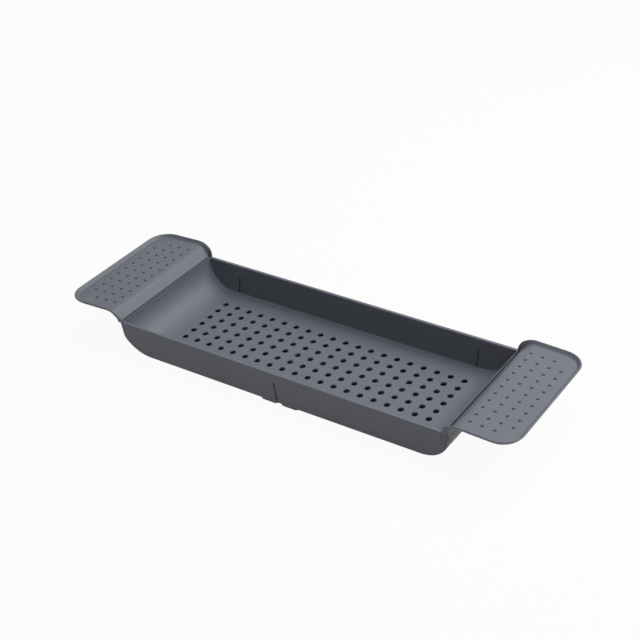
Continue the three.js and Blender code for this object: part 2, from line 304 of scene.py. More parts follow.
def cheek_rise(tray, slide, x):
    """Share of its full height that a wing's lip has reached at distance x from the middle."""
    end = wing_start(tray, slide)
    left = (end - x) / (end - cheek_start(tray))
    return math.sqrt(1 - min(1, max(0, left)) ** 2)


def slide_wall_top(tray):
    """Height of a slide's walls, which end under the rim band."""
    return tray.rim_height - tray.band_depth - tray.band_gap


def stop_place():
    """Centre of the right front stop pin."""
    return (PIN_LOW + PIN_HIGH) / 2


# Flat sheets and their details

def flat_sheet(lines_u, lines_v):
    """Flat sheet with a vertex at each crossing of the two lists of lines."""
    bm = bmesh.new()
    last_u = len(lines_u) - 1
    last_v = len(lines_v) - 1
    bmesh.ops.create_grid(bm, x_segments=last_u, y_segments=last_v, size=0.5)
    for vert in bm.verts:
        column = round((vert.co.x + 0.5) * last_u)
        row = round((vert.co.y + 0.5) * last_v)
        vert.co = (lines_u[column], lines_v[row], 0)
    return bm


def even_lines(start, end, steps):
    return [start + (end - start) * i / steps for i in range(steps + 1)]


def cell_lines(centre, pitch, cells):
    """Lines on both sides of each cell of an even row."""
    return even_lines(centre - pitch * cells / 2, centre + pitch * cells / 2, cells)


def both_ways(lines):
    return sorted({-line for line in lines} | set(lines))


def parts_of(faces, kind):
    """Edges or vertices of some faces, each once and always in the same order."""
    return list(dict.fromkeys(part for face in faces for part in getattr(face, kind)))


def round_cells(bm, centres, inset, radius, cuts):
    """Turn the middle of the cell around each centre into a round face."""
    upper = [face for face in bm.faces if face.normal.z > FACING_UP]
    cells = {}
    for centre in centres:
        for face in upper:
            if bmesh.geometry.intersect_face_point(face, centre):
                cells[face] = centre
    if len(cells) != len(centres):
        raise RuntimeError(f"{len(centres)} round places fall in {len(cells)} cells of the sheet")
    faces = list(cells)
    bmesh.ops.inset_individual(bm, faces=faces, thickness=inset, use_even_offset=True)
    bmesh.ops.subdivide_edges(bm, edges=parts_of(faces, "edges"), cuts=cuts)
    for face, centre in cells.items():
        corners = [loop.vert for loop in face.loops]
        first = max(corners, key=lambda vert: (vert.co.x - centre.x) + (vert.co.y - centre.y))
        offset = corners.index(first)
        for i, vert in enumerate(corners[offset:] + corners[:offset]):
            angle = math.pi / 4 + 2 * math.pi * i / len(corners)
            vert.co.x = centre.x + radius * math.cos(angle)
            vert.co.y = centre.y + radius * math.sin(angle)
    return faces


def round_outer_corners(bm, end, edge, columns, rows, radius, segments):
    """Round the outer corners of a studded sheet after joining the faces that they cross."""
    crossed = ((columns[-3], rows[-1]), (columns[-2], rows[-2]))
    for side in (-1, 1):
        region = []
        for face in bm.faces:
            middle = face.calc_center_median()
            if any(middle.x > u and side * middle.y > v for u, v in crossed):
                region.append(face)
        bmesh.ops.dissolve_faces(bm, faces=region)
        border = [vert for vert in bm.verts if vert.is_boundary]
        straight = [vert for vert in border if vert.calc_edge_angle(1) < STRAIGHT_LINE]
        bmesh.ops.dissolve_verts(bm, verts=straight)
        corner = Vector((end, side * edge, 0))
        vert = min(bm.verts, key=lambda v: (v.co - corner).length)
        bmesh.ops.bevel(
            bm, geom=[vert], offset=radius, offset_type="OFFSET", segments=segments, profile=0.5,
            affect="VERTICES", material=-1,
        )


def only(kind, made):
    """Vertices, edges or faces among what an operation has made."""
    return [item for item in made["geom"] if isinstance(item, kind)]


def thicken(bm, thickness):
    """Give a flat sheet its thickness, downwards."""
    made = bmesh.ops.extrude_face_region(bm, geom=bm.faces[:], use_keep_orig=True)
    bmesh.ops.translate(bm, verts=only(bmesh.types.BMVert, made), vec=(0, 0, -thickness))
    bmesh.ops.recalc_face_normals(bm, faces=bm.faces[:])


def sharp_edges(bm, wanted):
    """Edges of a flat piece that turn by a right angle and that the test wants."""
    return [edge for edge in bm.edges if edge.calc_face_angle(0) > RIGHT_TURN and wanted(edge)]


def round_edges(bm, edges, radius, segments):
    bmesh.ops.bevel(
        bm, geom=edges, offset=radius, offset_type="OFFSET", segments=segments, profile=0.5,
        affect="EDGES", clamp_overlap=True, material=-1,
    )


def wall_profile(fillet, height, lean, beyond, runs):
    """Outward and upward distance from the floor's edge, some way beyond it on the flat sheet."""
    fillet_run, wall_run, top_run = runs
    turn = QUARTER_TURN - math.atan(lean)
    if beyond <= fillet_run:
        angle = turn * beyond / fillet_run
        return fillet * math.sin(angle), fillet * (1 - math.cos(angle))
    start = fillet * (1 - math.cos(turn))
    below = fillet_run + wall_run - beyond
    if below > top_run:
        rest = max(0, height - start - top_run)
        below = top_run + rest * (below - top_run) / (wall_run - top_run)
    up = max(start, height - below)
    return fillet * math.sin(turn) + lean * (up - start), up


def spin_outline(bm, axis, outline, sides, closed):
    """Turn an outline of radius and height about an upright axis."""
    verts = [bm.verts.new(axis + Vector((radius, 0, z))) for radius, z in outline]
    following = verts[1:] + verts[:1] if closed else verts[1:]
    edges = [bm.edges.new(pair) for pair in zip(verts, following)]
    bmesh.ops.spin(
        bm, geom=verts + edges, cent=axis, axis=(0, 0, 1), angle=2 * math.pi, steps=sides,
        use_merge=True,
    )


def turn_to_side(bm, sign):
    """Turn a piece made for the right end round to the left end where the sign asks for it."""
    if sign < 0:
        half_turn = Matrix.Rotation(math.pi, 3, "Z")
        bmesh.ops.rotate(bm, verts=bm.verts[:], cent=(0, 0, 0), matrix=half_turn)


# Objects and finishes

def to_object(name, bm, material, body, nodes):
    """Piece made from a bmesh, riding on a body in place of CAD nodes."""
    bmesh.ops.remove_doubles(bm, verts=bm.verts[:], dist=NEAR)
    bmesh.ops.recalc_face_normals(bm, faces=bm.faces[:])
    mesh = bpy.data.meshes.new(name)
    bm.to_mesh(mesh)
    bm.free()
    mesh.shade_smooth()
    mesh.set_sharp_from_angle(angle=SHARP_TURN)
    mesh.materials.append(material)
    piece = bpy.data.objects.new(name, mesh)
    bpy.context.scene.collection.objects.link(piece)
    normals = piece.modifiers.new("weighted normals", "WEIGHTED_NORMAL")
    normals.keep_sharp = True
    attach(piece, body)
    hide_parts(*nodes)
    return piece


def add_noise(nodes, links, place, scale, detail):
    """Even noise that stays with the piece."""
    noise = nodes.new("ShaderNodeTexNoise")
    noise.inputs["Scale"].default_value = scale
    noise.inputs["Detail"].default_value = detail
    links.new(place.outputs["Object"], noise.inputs["Vector"])
    return noise.outputs["Fac"]


def moulded_finish(name, light, dark, roughness, grain, relief):
    """Moulded finish with a faint mottle and a fine even grain."""
    found = bpy.data.materials.get(name)
    if found:
        return found
    material = bpy.data.materials.new(name)
    material.use_nodes = True
    nodes = material.node_tree.nodes
    links = material.node_tree.links
    shader = nodes["Principled BSDF"]
    shader.inputs["Specular IOR Level"].default_value = SPECULAR
    place = nodes.new("ShaderNodeTexCoord")

    mottle = add_noise(nodes, links, place, MOTTLE_SCALE, MOTTLE_DETAIL)
    tones = nodes.new("ShaderNodeMix")
    tones.data_type = "RGBA"
    tones.inputs["A"].default_value = (*dark, 1)
    tones.inputs["B"].default_value = (*light, 1)
    links.new(mottle, tones.inputs["Factor"])
    links.new(tones.outputs["Result"], shader.inputs["Base Color"])

    fine = add_noise(nodes, links, place, grain, GRAIN_DETAIL)
    gloss = nodes.new("ShaderNodeMapRange")
    gloss.inputs["To Min"].default_value = roughness - GLOSS_SPREAD
    gloss.inputs["To Max"].default_value = roughness + GLOSS_SPREAD
    links.new(fine, gloss.inputs["Value"])
    links.new(gloss.outputs["Result"], shader.inputs["Roughness"])

    bump = nodes.new("ShaderNodeBump")
    bump.inputs["Strength"].default_value = relief
    bump.inputs["Distance"].default_value = GRAIN_DEPTH
    links.new(fine, bump.inputs["Height"])
    links.new(bump.outputs["Normal"], shader.inputs["Normal"])
    return material


def plastic_finish(finish):
    """Satin plastic of the mouldings."""
    return moulded_finish(
        "slate grey moulded plastic", finish.plastic, finish.plastic_dark,
        roughness=0.48, grain=1500, relief=0.35,
    )


def soft_finish(finish):
    """Duller finish of the soft grips."""
    return moulded_finish(
        "soft dark grip", finish.soft, finish.soft_dark, roughness=0.7, grain=900, relief=0.5
    )


# Perforated tray

def tray_runs(tray):
    """Lengths of flat sheet that become the fillet and the wall."""
    turn = lean_angle(tray)
    wall_height = tray.depth - tray.fillet * (1 - math.cos(turn))
    return tray.fillet * turn, wall_height, wall_height


def tray_edge(tray):
    """Half the width of the tray's level floor."""
    return floor_edge(tray, tray_floor(tray), tray.fillet, 2 * tray.wall + tray.clearance)


def press_tray(tray, flat):
    """Place of a point of the flat tray sheet once the sheet has its shape."""
    deep = -flat.z
    under = min(deep, tray.sheet)
    share = under / tray.sheet
    level = tray_level(tray)
    turn = min(QUARTER_TURN, max(0, abs(flat.x) - level) / tray.scoop)
    thin = (1 - tray.end_sheet / tray.sheet) * max(0, 2 * turn / QUARTER_TURN - 1)
    x = min(abs(flat.x), level) + (tray.scoop + under * (1 - thin)) * math.sin(turn)
    floor = tray.rim_height - (tray.depth + under) * math.cos(turn)
    height = tray.rim_height - floor
    fillet = min(tray.fillet + share * tray.wall, height)
    inward = 2 * tray.wall + tray.clearance - share * tray.wall - max(0, deep - tray.sheet)
    half = floor_edge(tray, floor, fillet, inward)
    edge = tray_edge(tray)
    across = abs(flat.y)
    if across <= edge:
        y = across * half / edge
        z = floor
    else:
        out, up = wall_profile(fillet, height, tray.lean, across - edge, tray_runs(tray))
        y = half + out
        z = floor + up
    if deep > tray.sheet + TOUCH:
        fillet_run, wall_run, _ = tray_runs(tray)
        z = tray.rim_height - (edge + fillet_run + wall_run - across)
        y = wall_face(tray, z) - inward
        if abs(flat.x) > level:
            stretch = (tray.band_half_length - level) / (tray.scoop + tray.end_sheet)
            x = level + (x - level) * stretch
    return Vector((math.copysign(x, flat.x), math.copysign(y, flat.y), z))


def cut_wall_slot(bm, tray, u, side, sill, head):
    """Cut one narrow upright slot through the flat wall."""
    half = tray.slot_width / 2
    edge = tray_edge(tray)

    def faces_between(low_u, high_u):
        found = []
        for face in bm.faces:
            middle = face.calc_center_median()
            spread = [vert.co.x for vert in face.verts]
            if edge < side * middle.y < head and min(spread) < high_u and max(spread) > low_u:
                found.append(face)
        return found

    def cut(faces, place, direction):
        geom = faces + parts_of(faces, "edges") + parts_of(faces, "verts")
        bmesh.ops.bisect_plane(bm, geom=geom, plane_co=place, plane_no=direction, dist=HAIR)

    for line in (u - half, u + half):
        cut(faces_between(line - half / 2, line + half / 2), (line, 0, 0), (1, 0, 0))
    near_slot = faces_between(u - half / 2, u + half / 2)
    strip = [face for face in near_slot if abs(face.calc_center_median().x - u) < half]
    cut(strip, (0, side * sill, 0), (0, 1, 0))
    opening = []
    for face in bm.faces:
        middle = face.calc_center_median()
        if abs(middle.x - u) < half and sill < side * middle.y < head:
            opening.append(face)
    bmesh.ops.delete(bm, geom=opening, context="FACES_ONLY")


def add_bosses(bm, tray, slide):
    """Tubes under the floor that hold the stop pins."""
    stop = stop_place()
    shank = PIN_HIGH.z + tray.sheet / 2
    low = slide.underside + tray.sheet + tray.clearance
    high = tray_floor(tray) - tray.sheet / 2
    outer = slide.pin_radius + tray.boss_wall
    bore = slide.pin_radius + slide.pin_gap
    ring = [(bore, low), (outer, low), (outer, high), (0, high), (0, shank), (bore, shank)]
    for x in (-stop.x, stop.x):
        for y in (-stop.y, stop.y):
            spin_outline(bm, Vector((x, y, 0)), ring, BORE_SIDES, closed=True)


def make_tray(tray, slide, finish):
    """Perforated tray, cut and thickened as a flat sheet and then pressed into shape."""
    edge = tray_edge(tray)
    fillet_run, wall_run, _ = tray_runs(tray)
    rim = edge + fillet_run + wall_run
    head = rim - tray.band_depth
    level = tray_level(tray)
    end = level + tray.scoop * QUARTER_TURN

    columns = cell_lines(0, tray.hole_pitch_x, tray.hole_columns)
    rising = even_lines(level, end, SCOOP_STEPS)
    left = [-line for line in reversed(rising) if -line < columns[0] - tray.sheet]
    right = [line for line in rising if line > columns[-1] + tray.sheet]
    rows = cell_lines(0, tray.hole_pitch_y, tray.hole_rows)
    walls = even_lines(edge, edge + fillet_run, FILLET_STEPS) + [head, rim]
    bm = flat_sheet(left + columns + right, sorted(set(rows) | set(both_ways(walls))))

    centres = []
    for i in range(tray.hole_columns):
        for j in range(tray.hole_rows):
            x = (columns[i] + columns[i + 1]) / 2
            y = (rows[j] + rows[j + 1]) / 2
            centres.append(Vector((x, y, 0)))
    inset = (tray.hole_pitch_y - 2 * tray.hole_radius) / 4
    holes = round_cells(bm, centres, inset, tray.hole_radius, HOLE_CUTS)
    bmesh.ops.delete(bm, geom=holes, context="FACES_ONLY")

    sill_angle = math.acos(1 - tray.slot_sill / tray.fillet)
    sill = edge + fillet_run * sill_angle / lean_angle(tray)
    outermost = tray.hole_pitch_x * (tray.hole_columns - 1) / 2
    for u in (-outermost, outermost):
        for side in (-1, 1):
            cut_wall_slot(bm, tray, u, side, sill, head)

    thicken(bm, tray.sheet)
    band = []
    for face in bm.faces:
        if face.normal.z < -FACING_UP and abs(face.calc_center_median().y) > head:
            band.append(face)
    for step in (tray.clearance / 2, tray.wall + tray.clearance / 2):
        made = bmesh.ops.extrude_face_region(bm, geom=band)
        band = only(bmesh.types.BMFace, made)
        bmesh.ops.translate(bm, verts=only(bmesh.types.BMVert, made), vec=(0, 0, -step))
    bmesh.ops.recalc_face_normals(bm, faces=bm.faces[:])

    def along(test):
        return lambda e: all(test(vert.co) for vert in e.verts)

    at_rim = along(lambda co: abs(co.y) > rim - NEAR)
    in_field = along(lambda co: abs(co.y) < rows[-1] and columns[0] < co.x < columns[-1])
    on_top = along(lambda co: co.z > -NEAR)
    under_band = along(lambda co: abs(co.y) < head + NEAR and co.z < -tray.sheet - tray.wall)
    round_edges(bm, sharp_edges(bm, at_rim), tray.rim_round, SOFT_STEPS)
    hole_edges = sharp_edges(bm, lambda e: in_field(e) and on_top(e))
    round_edges(bm, hole_edges, tray.edge_round, FINE_STEPS)
    other_edges = sharp_edges(bm, lambda e: not in_field(e) and not under_band(e))
    round_edges(bm, other_edges, tray.edge_round, FINE_STEPS)

    for vert in bm.verts:
        vert.co = press_tray(tray, vert.co)
    add_bosses(bm, tray, slide)
    plastic = plastic_finish(finish)
    to_object("tray_moulding", bm, plastic, "tray", ["perforated_tray"])


# Slides

def lip_reach(tray, slide, deep, height, flare):
    """Width of a lip beyond the floor's edge, its radius and its height, some depth down."""
    tilt = math.atan(flare)
    fillet = slide.lip_fillet + deep
    height += deep * (1 - math.sin(tilt))
    out = fillet * math.cos(tilt) + flare * max(0, height - fillet * (1 - math.sin(tilt)))
    return out + (tray.sheet - deep) * math.cos(tilt), fillet, height


class SlideLayout:
    """Lines of a slide's flat sheet, along it from the middle and across it from its centre."""

    fillet_run = 4 * MM
    wall_run = 4 * MM
    top_run = 1 * MM
    runs = (fillet_run, wall_run, top_run)

    def __init__(self, tray, slide):
        self.radius_in = slide.end_radius - tray.sheet
        self.level = neck_start(tray, slide) - self.radius_in
        self.upright = self.level + self.radius_in * QUARTER_TURN
        self.neck = self.upright + tray.rim_height - slide.underside - slide.end_radius
        drop = slide.underside + slide.end_radius - slide_wall_top(tray)
        self.wall_end = self.level + self.radius_in * math.acos(drop / self.radius_in)
        self.bend = self.neck + ramp_length(slide)
        self.wing = self.bend + slide.neck_radius * slide.neck_slope
        self.lip = lip_reach(tray, slide, 0, slide.lip_height, slide.lip_flare)[0]
        self.edge = slide.wing_half_width - self.lip
        self.end = self.wing + slide.half_length - wing_start(tray, slide) - self.lip
        self.radius = slide.corner - self.lip
        self.corner_u = self.end - self.radius
        self.corner_v = self.edge - self.radius

    def from_wing(self, tray, slide, x):
        """Line of the flat sheet that becomes distance x on a wing."""
        return self.wing + x - wing_start(tray, slide)

    def outward(self, flat):
        """Distance beyond the edge of the sheet's floor, and the direction outwards."""
        side = math.copysign(1, flat.y)
        du = flat.x - self.corner_u
        dv = abs(flat.y) - self.corner_v
        if du > 0 and dv > 0:
            reach = math.hypot(du, dv)
            return reach - self.radius, Vector((du / reach, side * dv / reach, 0))
        if du > dv:
            return du - self.radius, Vector((1, 0, 0))
        return abs(flat.y) - self.edge, Vector((0, side, 0))


def slide_line(tray, slide, layout, u, deep):
    """Lengthwise line of a slide's sheet, some depth below its upper face."""
    rim = tray.rim_height
    end = neck_start(tray, slide)
    if u <= layout.upright:
        turn = max(0, u - layout.level) / layout.radius_in
        x = min(u, layout.level) + (layout.radius_in + deep) * math.sin(turn)
        return x, slide.underside + slide.end_radius - (layout.radius_in + deep) * math.cos(turn)
    slope = slide.neck_slope
    pinch = deep * math.tan((QUARTER_TURN - slope) / 2)
    if u <= layout.neck:
        return end + deep, rim - max(layout.neck - u, pinch)
    if u <= layout.bend:
        along = max(u - layout.neck, pinch)
        x = end + along * math.cos(slope) + deep * math.sin(slope)
        return x, rim + along * math.sin(slope) - deep * math.cos(slope)
    flat_x = wing_start(tray, slide)
    if u <= layout.wing:
        turn = (layout.wing - u) / slide.neck_radius
        radius = slide.neck_radius - deep
        centre_z = rim + slide.rise - slide.neck_radius
        return flat_x - radius * math.sin(turn), centre_z + radius * math.cos(turn)
    x = flat_x + u - layout.wing
    return x, wing_top(tray, slide, x) - deep


def slide_station(tray, slide, layout, u, deep):
    """Place of a slide's floor along its length, and the section of its walls or lip there."""
    share = deep / tray.sheet
    x, z = slide_line(tray, slide, layout, u, deep)
    if u < layout.wall_end:
        height = max(0, slide_wall_top(tray) - z)
        fillet = min(slide.fillet + share * tray.wall, height)
        half = floor_edge(tray, z, fillet, tray.wall * (1 - share))
        return x, z, half, fillet, height, tray.lean
    if u < layout.neck:
        return x, z, wall_face(tray, z) - slide.ear_round, 0, 0, 0
    full = slide.rise + slide.lip_height
    height = slide.lip_height
    flare = slide.lip_flare
    if u < layout.wing:
        top_x, top_z = slide_line(tray, slide, layout, u, 0)
        upper = tray.rim_height + full * cheek_rise(tray, slide, top_x) - top_z
        flare *= min(1, slide.lip_height / upper)
        height = tray.rim_height + full * cheek_rise(tray, slide, x) - z - deep
    widening = slide.wing_half_width - tray.rim_half_width
    plan = tray.rim_half_width + widening * cheek_rise(tray, slide, x)
    reach, fillet, height = lip_reach(tray, slide, deep, height, flare)
    return x, z, plan - reach, fillet, height, flare


def round_upright(tray, slide, place, inside):
    """Bring a point beyond the rounded upright corner of a slide's end back to its curve."""
    centre_x = neck_start(tray, slide) + tray.sheet - slide.ear_round
    centre_y = wall_face(tray, place.z) - slide.ear_round
    over_x = place.x - centre_x
    over_y = abs(place.y) - centre_y
    share = (slide.ear_round - inside) / math.hypot(over_x, over_y)
    if over_x > 0 and over_y > 0 and share < 1:
        place.x = centre_x + over_x * share
        place.y = math.copysign(centre_y + over_y * share, place.y)


def press_slide(tray, slide, layout, flat):
    """Place of a point of the flat slide sheet once the sheet has its shape."""
    deep = -flat.z
    beyond, direction = layout.outward(flat)
    beyond = max(0, beyond)
    base = flat - beyond * direction
    x, z, half, fillet, height, lean = slide_station(tray, slide, layout, base.x, deep)
    y = base.y * half / layout.edge
    if base.x > layout.corner_u:
        spread = half - layout.edge if beyond > 0 else 0
        x += spread * direction.x
        y = base.y + spread * direction.y
    out, up = wall_profile(fillet, height, lean, beyond, layout.runs)
    place = Vector((x, y, z + up)) + direction * out
    if base.x <= layout.wall_end:
        round_upright(tray, slide, place, tray.wall * (1 - deep / tray.sheet))
    return place


def add_cheek_foot(bm, tray, slide, side):
    """First part of a cheek, from the slide's upper corner to the neck."""
    start = cheek_start(tray)
    span = neck_start(tray, slide) + tray.sheet - tray.band_gap - start
    full = slide.rise + slide.lip_height
    flare = slide.wing_half_width - tray.rim_half_width
    below = tray.rim_height - slide.edge_round
    sections = []
    for share in even_lines(0, 1, CURVE_STEPS):
        x = start + span * share ** 2
        rise = cheek_rise(tray, slide, x)
        top = tray.rim_height + full * rise
        outside = tray.rim_half_width + flare * rise
        inside = outside - tray.wall
        soft = min(slide.edge_round, (top - tray.rim_height) / 2)
        outline = [
            (tray.rim_half_width - tray.wall, below),
            (tray.rim_half_width - tray.band_gap, below),
            (outside, top - soft), (outside - soft, top),
            (inside + soft, top), (inside, top - soft),
        ]
        sections.append([bm.verts.new((x, side * y, z)) for y, z in outline])
    for first, second in zip(sections, sections[1:]):
        for i in range(len(first)):
            bm.faces.new((first[i - 1], first[i], second[i], second[i - 1]))
    bm.faces.new(sections[0])
    bm.faces.new(sections[-1])


def add_ears(bm, tray, slide):
    """Upper corners of a slide, which close the ends of the rim bands and carry the cheeks."""
    low = slide_wall_top(tray) - slide.edge_round
    start = cheek_start(tray)
    inner = neck_start(tray, slide) + tray.band_gap
    outer = neck_start(tray, slide) + tray.sheet - tray.band_gap
    radius = slide.ear_round
    plan = [(start, tray.wall), (start, tray.band_gap)]
    for turn in even_lines(0, QUARTER_TURN, CORNER_STEPS):
        x = outer - radius * (1 - math.sin(turn))
        plan.append((x, tray.band_gap + radius * (1 - math.cos(turn))))
    plan += [(outer, 2 * radius), (inner, 2 * radius), (inner, tray.wall)]
    face_y = wall_face(tray, low)
    rise = tray.rim_height - low
    for side in (-1, 1):
        lower = [bm.verts.new((x, side * (face_y - inward), low)) for x, inward in plan]
        base = bm.faces.new(lower)
        made = bmesh.ops.extrude_face_region(bm, geom=[base], use_keep_orig=True)
        lift = (0, side * tray.lean * rise, rise)
        bmesh.ops.translate(bm, verts=only(bmesh.types.BMVert, made), vec=lift)
        add_cheek_foot(bm, tray, slide, side)


def stud_places(slide, grip):
    """Places of the studs of the right wing, seen from above."""
    places = []
    last = slide.half_length - grip.margin
    for i in range(grip.stud_columns):
        skip = 1 if i == grip.stud_columns - 1 else 0
        for j in range(skip, grip.stud_rows - skip):
            x = last - (grip.stud_columns - 1 - i) * grip.pitch_x
            places.append(Vector((x, (j - (grip.stud_rows - 1) / 2) * grip.pitch_y, 0)))
    return places


def stud_columns(tray, slide, grip):
    """Lines between the columns of studs on the right wing."""
    last = slide.half_length - grip.margin + grip.pitch_x / 2
    lines = [last - i * grip.pitch_x for i in range(grip.stud_columns)]
    return [wing_start(tray, slide)] + sorted(lines)


def cut_pin_slot(bm, slide, u, v, stretch):
    """Cut a long slot with round ends through the flat floor, wider by the stretch across."""
    middle = Vector((u - slide.travel / 2, v, 0))
    cell = next(face for face in bm.faces if bmesh.geometry.intersect_face_point(face, middle))
    border = list(cell.edges)
    bmesh.ops.delete(bm, geom=[cell], context="FACES_ONLY")
    made = bmesh.ops.create_circle(
        bm, segments=BORE_SIDES, radius=slide.slot_reach,
        matrix=Matrix.Translation((u, v, 0)) @ Matrix.Rotation(math.pi / BORE_SIDES, 4, "Z"),
    )
    ring = set(made["verts"])
    for vert in ring:
        vert.co.y = v + (vert.co.y - v) * stretch
        if vert.co.x < u:
            vert.co.x -= slide.travel
    outline = [edge for edge in bm.edges if edge.verts[0] in ring and edge.verts[1] in ring]
    bmesh.ops.bridge_loops(bm, edges=border + outline)


def make_slide(tray, slide, grip, finish, name, sign):
    """One slide with its wing, cut and thickened as a flat sheet and then pressed into shape."""
    layout = SlideLayout(tray, slide)
    stop = stop_place()
    margin = 2 * slide.slot_reach
    trough = floor_edge(tray, slide.underside + tray.sheet, slide.fillet, tray.wall)
    stretch = layout.edge / trough

    slots = [stop.x - slide.travel - margin, stop.x + margin]
    curve = even_lines(layout.level, layout.wall_end - slide.edge_round, END_STEPS)
    curve += even_lines(layout.wall_end, layout.upright, SOFT_STEPS)
    ramp = even_lines(layout.neck, layout.bend, CURVE_STEPS)[:-1]
    bend = even_lines(layout.bend, layout.wing, CURVE_STEPS)[:-1]
    studs = [layout.from_wing(tray, slide, x) for x in stud_columns(tray, slide, grip)]
    lines_u = sorted({slide.start, *slots, *curve, *ramp, *bend, *studs, layout.end})
    rows = cell_lines(0, grip.pitch_y, grip.stud_rows)
    bm = flat_sheet(lines_u, [-layout.edge] + rows + [layout.edge])
    round_outer_corners(bm, layout.end, layout.edge, studs, rows, layout.radius, CURVE_STEPS)

    edges = []
    for edge in bm.edges:
        if edge.is_boundary and max(vert.co.x for vert in edge.verts) > slide.start + tray.sheet:
            edges.append(edge)
    steps = [layout.fillet_run / FILLET_STEPS] * FILLET_STEPS
    steps += [layout.wall_run - layout.top_run, layout.top_run]
    for step in steps:
        made = bmesh.ops.extrude_edge_only(bm, edges=edges)
        verts = set(only(bmesh.types.BMVert, made))
        moves = {vert: layout.outward(vert.co)[1] * step for vert in verts}
        for vert, move in moves.items():
            vert.co += move
        edges = [e for e in bm.edges if e.verts[0] in verts and e.verts[1] in verts]
    bmesh.ops.recalc_face_normals(bm, faces=bm.faces[:])
    if sum(face.normal.z for face in bm.faces) < 0:
        bmesh.ops.reverse_faces(bm, faces=bm.faces[:])

    places = []
    for place in stud_places(slide, grip):
        places.append(Vector((layout.from_wing(tray, slide, place.x), place.y, 0)))
    holes = round_cells(bm, places, grip.radius, grip.radius + grip.gap, STUD_CUTS)
    bmesh.ops.delete(bm, geom=holes, context="FACES_ONLY")
    for side in (-1, 1):
        cut_pin_slot(bm, slide, stop.x, side * abs(stop.y) * stretch, stretch)

    thicken(bm, tray.sheet)
    studded = layout.wing - tray.sheet

    def at_stud(edge):
        places = [vert.co for vert in edge.verts]
        return all(co.x > studded and layout.outward(co)[0] < -tray.sheet for co in places)

    def in_trough(edge):
        return all(slide.start + tray.sheet < vert.co.x < layout.wall_end for vert in edge.verts)

    outer_edges = sharp_edges(bm, lambda e: not at_stud(e) and not in_trough(e))
    round_edges(bm, outer_edges, slide.edge_round, EDGE_STEPS)
    round_edges(bm, sharp_edges(bm, in_trough), tray.band_gap, FINE_STEPS)
    for vert in bm.verts:
        vert.co = press_slide(tray, slide, layout, vert.co)
    add_ears(bm, tray, slide)
    turn_to_side(bm, sign)
    body = f"{name}_slide"
    plastic = plastic_finish(finish)
    to_object(f"{name}_slide_moulding", bm, plastic, body, [body])


# Grip pads, feet and pins

def make_pad(tray, slide, grip, finish, name, sign):
    """Soft pad under one wing, with studs that stand up through the wing's holes."""
    end = slide.half_length - grip.inset
    edge = slide.wing_half_width - grip.inset
    columns = stud_columns(tray, slide, grip)
    rows = cell_lines(0, grip.pitch_y, grip.stud_rows)
    bm = flat_sheet(columns[:-1] + [end], [-edge] + rows + [edge])
    round_outer_corners(bm, end, edge, columns, rows, slide.corner - grip.inset, CORNER_STEPS)
    thicken(bm, grip.thickness)
    all_round = sharp_edges(bm, lambda e: True)
    round_edges(bm, all_round, grip.pad_round * grip.thickness, EDGE_STEPS)
    faces = round_cells(bm, stud_places(slide, grip), grip.radius, grip.radius, STUD_CUTS)
    tops = bmesh.ops.extrude_discrete_faces(bm, faces=faces)["faces"]
    drop = tray.sheet + grip.gap
    bmesh.ops.translate(bm, verts=parts_of(tops, "verts"), vec=(0, 0, drop + grip.proud))
    round_edges(bm, parts_of(tops, "edges"), grip.stud_round * grip.radius, EDGE_STEPS)
    for vert in bm.verts:
        vert.co.z += wing_top(tray, slide, vert.co.x) - drop
    turn_to_side(bm, sign)
    node = f"{name}_grip_pad"
    soft = soft_finish(finish)
    to_object(f"{name}_soft_grip", bm, soft, f"{name}_slide", [node])


def make_foot(grip, finish, name, end):
    """Foot with rounded corners and a domed lower edge, in the colour of its slide."""
    node = f"{name}_{end}_foot"
    low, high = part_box(node)
    size = high - low
    size.y *= grip.foot_width
    place = Matrix.Translation((low + high) / 2) @ Matrix.Diagonal((*size, 1))
    bm = bmesh.new()
    bmesh.ops.create_cube(bm, size=1, matrix=place)

    def heights(edge):
        return sorted(vert.co.z for vert in edge.verts)

    upright = [edge for edge in bm.edges if heights(edge)[1] - heights(edge)[0] > size.z / 2]
    round_edges(bm, upright, grip.foot_round * size.y, FILLET_STEPS)
    under = [edge for edge in bm.edges if heights(edge)[1] < low.z + size.z / 2]
    round_edges(bm, under, grip.foot_dome * size.z, SOFT_STEPS)
    plastic = plastic_finish(finish)
    to_object(f"{name}_{end}_soft_foot", bm, plastic, f"{name}_slide", [node])


def make_pin(slide, finish, name, end):
    """Stop pin with a flat round head, turned about its own axis."""
    node = f"{name}_{end}_stop_pin"
    low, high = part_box(node)
    centre = (low + high) / 2
    axis = Vector((centre.x, centre.y, 0))
    head = (high.x - low.x) / 2
    shank = slide.pin_radius
    shoulder = low.z + slide.pin_head
    soft = slide.pin_round
    outline = [
        (0, low.z), (head - soft, low.z), (head, low.z + soft), (head, shoulder - soft / 2),
        (head - soft / 2, shoulder), (shank, shoulder), (shank, high.z - soft),
        (shank - soft, high.z), (0, high.z),
    ]
    bm = bmesh.new()
    spin_outline(bm, axis, outline, PIN_SIDES, closed=False)
    to_object(f"{name}_{end}_pin", bm, plastic_finish(finish), "tray", [node])


# Stage

def seen_directly(nodes, links):
    """Light Path value that is 1 for camera, glossy and transmission rays."""
    path = nodes.new("ShaderNodeLightPath")
    value = path.outputs["Is Camera Ray"]
    for ray in ("Is Glossy Ray", "Is Transmission Ray"):
        larger = nodes.new("ShaderNodeMath")
        larger.operation = "MAXIMUM"
        links.new(value, larger.inputs[0])
        links.new(path.outputs[ray], larger.inputs[1])
        value = larger.outputs["Value"]
    return value


